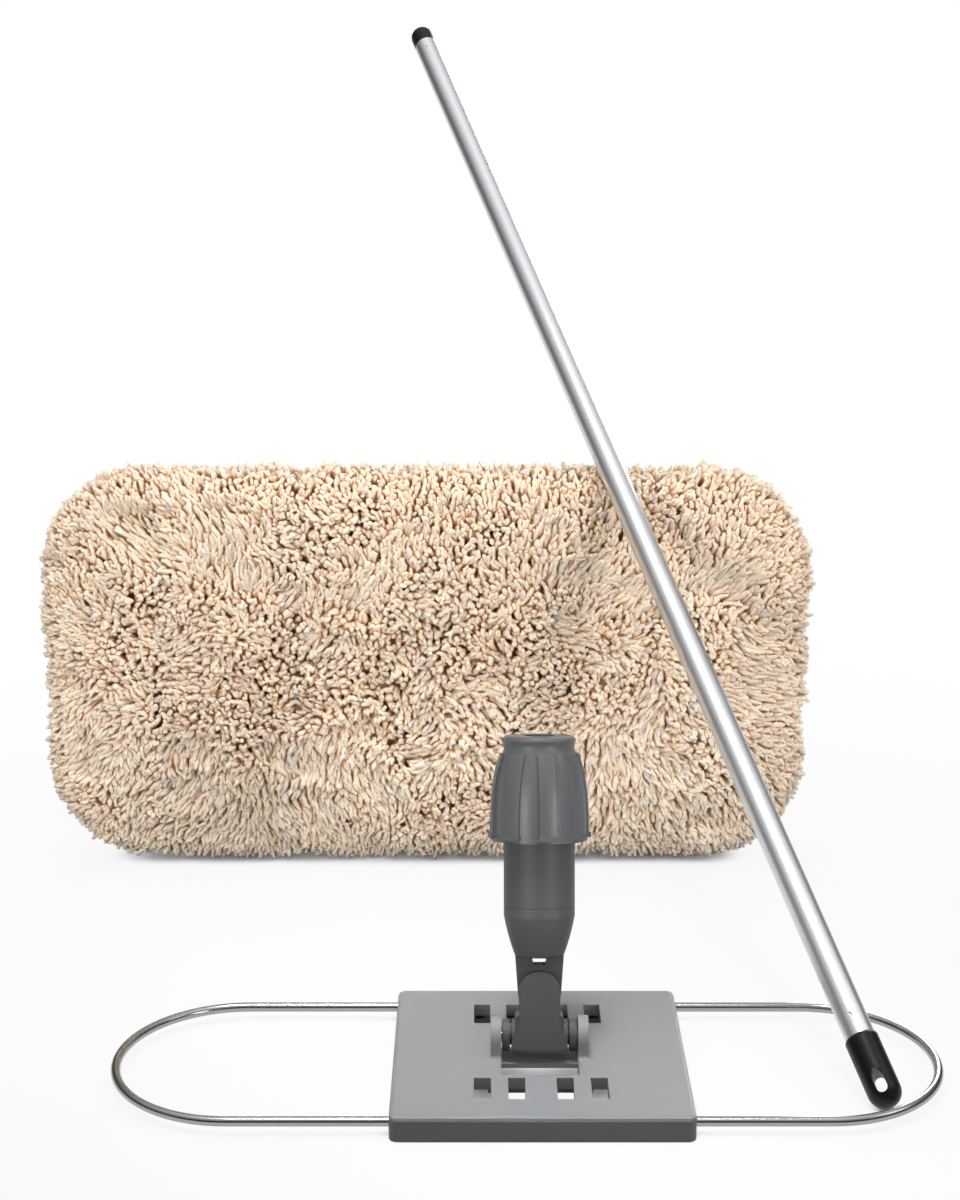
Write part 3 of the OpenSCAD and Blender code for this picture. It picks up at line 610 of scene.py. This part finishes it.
# The canvas dimples a little along the rows where the yarn is sewn on
def canvasBackY(px, pz):
    rowPitch = 2 * canvasHalf[1] / backing["rows"]
    return canvasHigh.y - backing["pucker"] * (0.5 + 0.5 * np.cos(2 * math.pi * pz / rowPitch))


def canvasFrontY(px, pz):
    return canvasLow.y + 0.2 * mm + 0 * px


canvasBacking = slab(
    "canvasBacking", canvasHalf, canvasCorner, 0.4 * mm, 40, 240, canvasFrontY, canvasBackY, canvasCloth
)
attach(canvasBacking, "pad")
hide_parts("pad_backing")
print("canvas made")


# Each end of the canvas has a pocket, sewn round its outline and open to the middle
pocketLow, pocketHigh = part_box("right_pocket")
pockets = {
    "cloth": 1.8 * mm,
    "seam": 6 * mm,
    "puff": 24 * mm,  # how far in from the seam the cloth takes to rise over the wire
    "hem": 16 * mm,
    "hemRise": 0.9 * mm,
    "pucker": 0.5 * mm,
    "puckerPitch": 13 * mm,
    "gape": 1.4 * mm,
    "sag": 1.3 * mm,
}
pocketEdge = canvasHigh.x - pocketHigh.x
pocketHalf = (canvasHalf[0] - pocketEdge, canvasHalf[1] - pocketEdge)
pocketCorner = canvasCorner - pocketEdge
pocketMouth = pocketLow.x - padMid.x
pocketRoom = pocketHigh.y - canvasHigh.y - pockets["cloth"]


# Half height of the pocket at a distance along the pad
def pocketSpan(x):
    bulge = np.maximum(x - (pocketHalf[0] - pocketCorner), 0)
    return pocketHalf[1] - pocketCorner + np.sqrt(np.maximum(pocketCorner**2 - bulge**2, 0))


# Outside of the pocket: flat on the seam, puffed over the wire, puckered along the sewing
def pocketY(x, z):
    inset = insetOf(x, z, pocketHalf, pocketCorner)
    rise = smoothStep((inset - pockets["seam"]) / pockets["puff"])
    turns = np.arctan2(z, x - pocketMouth) * pocketHalf[1] / pockets["puckerPitch"]
    nearSeam = np.exp(-(((inset - 0.6 * pockets["puff"]) / (0.4 * pockets["puff"])) ** 2))
    pucker = pockets["pucker"] * (np.sin(2 * math.pi * turns) + 0.5 * np.sin(1.7 + 3.3 * turns)) * nearSeam
    inward = (x - pocketMouth) / (pocketHalf[0] - pocketMouth)
    gape = pockets["gape"] * (1 - (z / pocketHalf[1]) ** 2) * (1 - inward) ** 5 * rise
    hem = pockets["hemRise"] * (1 - smoothStep((x - pocketMouth - pockets["hem"]) / (1.2 * mm)))
    sag = pockets["sag"] * rise * (np.sin(31 * x + 2) * np.sin(23 * z) - 0.5)
    return canvasHigh.y + pockets["cloth"] + pocketRoom * rise + pucker + gape + hem + sag


across, down = 56, 72
along = np.linspace(0, 1, across)
hemLine = (pockets["hem"] + np.array([-0.2, 0.2, 0.9, 1.6]) * mm) / (pocketHalf[0] - pocketMouth)
along = np.sort(np.concatenate([along, hemLine]))
across = len(along)
upright = np.sin(np.linspace(-1, 1, down) * math.pi / 2)
gridX = np.repeat((pocketMouth + along * (pocketHalf[0] - pocketMouth))[:, None], down, 1)
gridZ = pocketSpan(gridX) * upright[None]
outerY = pocketY(gridX, gridZ)
innerY = np.maximum(outerY - pockets["cloth"], canvasHigh.y + 0.05 * mm)
i, j = np.mgrid[0:across - 1, 0:down - 1]
i, j = i.ravel(), j.ravel()
outerFaces = np.stack([i * down + j, (i + 1) * down + j, (i + 1) * down + j + 1, i * down + j + 1], 1)
rim = np.concatenate([
    np.arange(across) * down,
    (across - 1) * down + np.arange(1, down),
    (np.arange(across - 2, -1, -1)) * down + down - 1,
    np.arange(down - 2, 0, -1),
])
rimFaces = np.stack([np.roll(rim, -1), rim, rim + across * down, np.roll(rim, -1) + across * down], 1)
for name, way, node in (("pocketRight", 1, "right_pocket"), ("pocketLeft", -1, "left_pocket")):
    points = [np.stack([way * gridX + padMid.x, y, gridZ + padMid.z], -1).reshape(-1, 3) for y in (outerY, innerY)]
    faces = [outerFaces[:, ::-1], outerFaces + across * down, rimFaces[:, ::-1]]
    if way < 0:
        faces = [f[:, ::-1] for f in faces]
    piece = meshPiece(name, np.concatenate(points), faces, pocketCloth)
    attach(piece, "pad")
    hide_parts(node)
print("pockets made")

# Tape folded over the canvas's edge, with its stitches
tape = {"wide": 8 * mm, "front": 6 * mm, "thick": 1.6 * mm, "out": 0.9 * mm, "steps": 320}
edgeAngles, edgeLength = evenAngles(canvasHalf, canvasCorner, tape["steps"])
edgeX, edgeZ = outlineAt(canvasHalf, canvasCorner, 0, edgeAngles)
normalX = np.roll(edgeZ, -1) - np.roll(edgeZ, 1)
normalZ = np.roll(edgeX, 1) - np.roll(edgeX, -1)
normalSize = np.hypot(normalX, normalZ)
normalX, normalZ = normalX / normalSize, normalZ / normalSize
section = [
    (-tape["wide"], canvasHigh.y + 0.02 * mm),
    (-tape["wide"] + 0.2 * mm, canvasHigh.y + 0.75 * tape["thick"]),
    (-0.55 * tape["wide"], canvasHigh.y + 0.85 * tape["thick"]),
    (-0.15 * tape["wide"], canvasHigh.y + tape["thick"]),
    (0.6 * tape["out"], canvasHigh.y + 0.6 * tape["thick"]),
    (tape["out"], (canvasHigh.y + canvasLow.y) / 2),
    (0.5 * tape["out"], canvasLow.y - 0.5 * mm),
    (-tape["front"], canvasLow.y - 0.7 * mm),
    (-tape["front"], canvasLow.y + 0.3 * mm),
    (0.0, canvasLow.y + 0.4 * mm),
    (0.0, canvasHigh.y - 0.2 * mm),
]
ripple = 0.12 * mm * np.sin(np.arange(tape["steps"]) * 2 * math.pi / 4)
rows = [
    np.stack([edgeX + out * normalX + padMid.x, y + ripple, edgeZ + out * normalZ + padMid.z], -1)
    for out, y in section
]
points = np.stack(rows, 1).reshape(-1, 3)
turns = len(section)
i, j = np.mgrid[0:tape["steps"], 0:turns]
i, j = i.ravel(), j.ravel()
after, up = (i + 1) % tape["steps"], (j + 1) % turns
tapeFaces = np.stack([i * turns + j, i * turns + up, after * turns + up, after * turns + j], 1)
edgeTape = meshPiece("edgeTape", points, [tapeFaces], tapeCloth)
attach(edgeTape, "pad")
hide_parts("edge_binding")


# Row of stitches over points that lie on the cloth's back, each a short arched thread
def stitchRow(path, length, gap, thread):
    run = np.concatenate([[0], np.cumsum(np.linalg.norm(np.diff(path, axis=0), axis=1))])
    starts = np.arange(0, run[-1] - length, length + gap)
    share = np.array([0, 0.2, 0.5, 0.8, 1.0])
    where = starts[:, None] + share[None] * length
    middle = np.stack([np.interp(where, run, path[:, c]) for c in range(3)], -1)
    middle[..., 1] += thread * np.array([-0.7, 0.35, 0.6, 0.35, -0.7])
    ahead = middle[:, -1] - middle[:, 0]
    ahead /= np.linalg.norm(ahead, axis=1, keepdims=True)
    side = np.cross(ahead, [0, 1, 0])
    around = np.arange(6) * math.pi / 3
    wide = thread * np.array([0.55, 0.95, 1, 0.95, 0.55])
    ring = np.cos(around)[:, None] * side[:, None, None] + np.sin(around)[:, None] * np.array([0, 1.0, 0])
    return middle[:, :, None] + wide[None, :, None, None] * ring


def onBack(x, z, y):
    return np.stack([x + padMid.x, y, z + padMid.z], -1)


thread, stitch = backing["thread"], backing["stitch"]
tapeX, tapeZ = edgeX - 0.75 * tape["wide"] * normalX, edgeZ - 0.75 * tape["wide"] * normalZ
tapeY = np.full(len(tapeX), canvasHigh.y + 0.82 * tape["thick"])
sewn = [stitchRow(onBack(tapeX, tapeZ, tapeY), stitch, backing["stitchGap"], thread)]
seamAngles, _ = evenAngles(pocketHalf, pocketCorner, 600)
seamX, seamZ = outlineAt(pocketHalf, pocketCorner, 0.5 * pockets["seam"], seamAngles)
for way in (1, -1):
    keep = seamX > pocketMouth + 2 * mm
    first = np.argmax(keep & ~np.roll(keep, 1))
    run = np.roll(np.arange(600), -first)
    run = run[keep[run]]
    sx, sz = seamX[run], seamZ[run]
    sewn.append(stitchRow(onBack(way * sx, sz, pocketY(sx, sz)), stitch, backing["stitchGap"], thread))
    hx = np.full(120, pocketMouth + pockets["hem"] - 3 * mm)
    hz = np.linspace(-0.97, 0.97, 120) * pocketSpan(hx)
    sewn.append(stitchRow(onBack(way * hx, hz, pocketY(hx, hz)), stitch, backing["stitchGap"], thread))
for row in range(backing["rows"]):
    rz = np.full(80, (row - (backing["rows"] - 1) / 2) * 2 * canvasHalf[1] / backing["rows"] * 0.9)
    rx = np.linspace(-pocketMouth + 3 * mm, pocketMouth - 3 * mm, 80)
    sewn.append(stitchRow(onBack(rx, rz, canvasBackY(rx, rz)), 1.6 * stitch, 2.4 * mm, thread))
stitches = np.concatenate(sewn)
number = len(stitches)
j, k = np.mgrid[0:4, 0:6]
j, k = j.ravel(), k.ravel()
stitchQuads = np.stack([j * 6 + k, j * 6 + (k + 1) % 6, (j + 1) * 6 + (k + 1) % 6, (j + 1) * 6 + k], 1)
stitchEnds = np.array([np.arange(5, -1, -1), 24 + np.arange(6)])
base = (np.arange(number) * 30)[:, None, None]
seamStitches = meshPiece(
    "seamStitches",
    stitches.reshape(-1, 3),
    [(stitchQuads[None] + base).reshape(-1, 4), (stitchEnds[None] + base).reshape(-1, 6)],
    sewingThread,
)
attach(seamStitches, "pad")
print("tape and stitches made,", number, "stitches")


bpy.ops.mesh.primitive_plane_add(size=80, location=(0, 20, -0.0005))
floor = bpy.context.object
floor.name = "studioFloor"
paper, tree, shader = newMaterial("white studio paper")  # matt, seen as the photograph's white ground
shader.inputs["Roughness"].default_value = 0.9
shader.inputs["Specular IOR Level"].default_value = 0.1
ray = addNode(tree, "ShaderNodeLightPath")
seen = addNode(
    tree, "ShaderNodeMath", {"operation": "MAXIMUM"}, {0: ray.outputs["Is Camera Ray"], 1: ray.outputs["Is Glossy Ray"]}
)
seenToo = addNode(
    tree, "ShaderNodeMath", {"operation": "MAXIMUM"}, {0: seen.outputs[0], 1: ray.outputs["Is Transmission Ray"]}
)
# White to the eye, but it throws back less light, as a small sheet on a dark table does
sheetTone = addNode(
    tree, "ShaderNodeMix", {"data_type": "RGBA", 6: linear("#5c5c5c"), 7: linear("#d8d8d8")}, {0: seenToo.outputs[0]}
)
tree.links.new(sheetTone.outputs[2], shader.inputs["Base Color"])
# Near the mop the paper takes its shadow, and further off it fades to plain white
spot = addNode(tree, "ShaderNodeNewGeometry").outputs["Position"]
away = addNode(tree, "ShaderNodeVectorMath", {"operation": "LENGTH"}, {0: spot})
fade = addNode(
    tree,
    "ShaderNodeMapRange",
    {"From Min": 0.3, "From Max": 1.3, "To Min": 0.88, "To Max": 1.0, "interpolation_type": "SMOOTHSTEP"},
    {"Value": away.outputs["Value"]},
)
# Under and close to the plate an ambient occlusion mask takes the glow away, so the paper there shows its lit shading:
# partly real shadow, partly painted shade from the mask
cover = addNode(tree, "ShaderNodeAmbientOcclusion", {"samples": 8, "Distance": 30 * mm})
bare = addNode(
    tree,
    "ShaderNodeMapRange",
    {"From Min": 0.14, "From Max": 0.34, "To Min": 0.0, "To Max": 1.0},
    {"Value": cover.outputs["AO"]},
)
bareFade = addNode(
    tree, "ShaderNodeMath", {"operation": "MULTIPLY"}, {0: bare.outputs["Result"], 1: fade.outputs["Result"]}
)
part = addNode(tree, "ShaderNodeMath", {"operation": "MULTIPLY"}, {0: seenToo.outputs[0], 1: bareFade.outputs[0]})
glow = addNode(tree, "ShaderNodeEmission", {"Color": (1, 1, 1, 1), "Strength": 1.0})
blend = addNode(
    tree, "ShaderNodeMixShader", {}, {0: part.outputs[0], 1: shader.outputs["BSDF"], 2: glow.outputs["Emission"]}
)
tree.links.new(blend.outputs["Shader"], tree.nodes["Material Output"].inputs["Surface"])
floor.data.materials.append(paper)

studio = {
    "sky": 0.79,
    "zenith": 1.3,
    # A grid on the overhead box keeps its light on the frame
    "overhead": {"at": (-0.1, -0.12, 2.0), "aim": (0, -0.06, 0), "size": (0.9, 0.35), "spread": 22, "watts": 0.98},
    "left front": {"at": (-1.7, -2.1, 0.75), "aim": (0, 0.3, 0.2), "size": (0.7, 0.7), "spread": 180, "watts": 31},
    "right front": {"at": (1.7, -2.1, 0.75), "aim": (0, 0.3, 0.2), "size": (0.7, 0.7), "spread": 180, "watts": 30},
    "back": {"at": (0.9, 2.7, 0.9), "aim": (-0.05, 0.4, 0.2), "size": (1.2, 1.2), "spread": 180, "watts": 30},
    "right": {"at": (1.7, -0.3, 1.5), "aim": (0, 0.1, 0.2), "size": (0.8, 0.8), "spread": 180, "watts": 4},
}
world = bpy.data.worlds.new("studio surround")
bpy.context.scene.world = world
world.use_nodes = True
tree = world.node_tree
ray = addNode(tree, "ShaderNodeLightPath")
place = addNode(tree, "ShaderNodeTexCoord").outputs["Generated"]
height = addNode(tree, "ShaderNodeSeparateXYZ", {}, {"Vector": place})
# Dim band near eye level, so that bright metal has something dark to show
band = addNode(tree, "ShaderNodeValToRGB", {}, {"Fac": height.outputs["Z"]})
band.color_ramp.elements[0].position, band.color_ramp.elements[0].color = 0.0, linear("#707070")
band.color_ramp.elements[1].position, band.color_ramp.elements[1].color = 0.8, linear("#ffffff")
for spot, tint in ((0.15, "#454545"), (0.5, "#8c8c8c")):
    band.color_ramp.elements.new(spot).color = linear(tint)
# Straight above it is brighter, which gives the leaning pole its highlight
strength = addNode(
    tree,
    "ShaderNodeMapRange",
    {"From Min": 0.86, "From Max": 0.96, "To Min": studio["sky"], "To Max": studio["zenith"]},
    {"Value": height.outputs["Z"]},
)
lit = addNode(
    tree, "ShaderNodeBackground", {}, {"Color": band.outputs["Color"], "Strength": strength.outputs["Result"]}
)
white = addNode(tree, "ShaderNodeBackground", {"Color": (1, 1, 1, 1), "Strength": 1.0})
sky = addNode(
    tree,
    "ShaderNodeMixShader",
    {},
    {0: ray.outputs["Is Camera Ray"], 1: lit.outputs["Background"], 2: white.outputs["Background"]},
)
tree.links.new(sky.outputs["Shader"], tree.nodes["World Output"].inputs["Surface"])
for name in ("overhead", "left front", "right front", "right", "back"):
    lamp = bpy.data.lights.new(name + " softbox", "AREA")
    lamp.shape, lamp.energy, lamp.spread = "RECTANGLE", studio[name]["watts"], math.radians(studio[name]["spread"])
    lamp.size, lamp.size_y = studio[name]["size"]
    holder = bpy.data.objects.new(name + "Softbox", lamp)
    holder.location = studio[name]["at"]
    holder.rotation_euler = (Vector(studio[name]["aim"]) - holder.location).to_track_quat("-Z", "Y").to_euler()
    bpy.context.scene.collection.objects.link(holder)

# Lens and place worked out from the plate's and the wires' corners in the photograph
view = {"at": (-0.0427, -1.4414, 0.752), "down": 15.41, "focalPixels": 2196, "imageWidth": 960}
camera = bpy.data.cameras.new("photo camera")
camera.sensor_fit, camera.sensor_width = "HORIZONTAL", 36
camera.lens = view["focalPixels"] / view["imageWidth"] * camera.sensor_width
cameraHolder = bpy.data.objects.new("photoCamera", camera)
cameraHolder.location = view["at"]
cameraHolder.rotation_euler = (math.radians(90 - view["down"]), 0, 0)
bpy.context.scene.collection.objects.link(cameraHolder)
bpy.context.scene.camera = cameraHolder
# Black flag below the picture, which keeps the front light off the plate's front edge
card = {"half": 0.6, "y": -0.36, "tall": 0.17}
cardCorners = [(-1, 0), (1, 0), (1, 1), (-1, 1)]
cardPoints = [(side * card["half"], card["y"], up * card["tall"]) for side, up in cardCorners]
flag = meshPiece("blackFlag", cardPoints, [np.array([[0, 1, 2, 3]])], capPlastic)
flag.visible_camera = False
print("studio set")
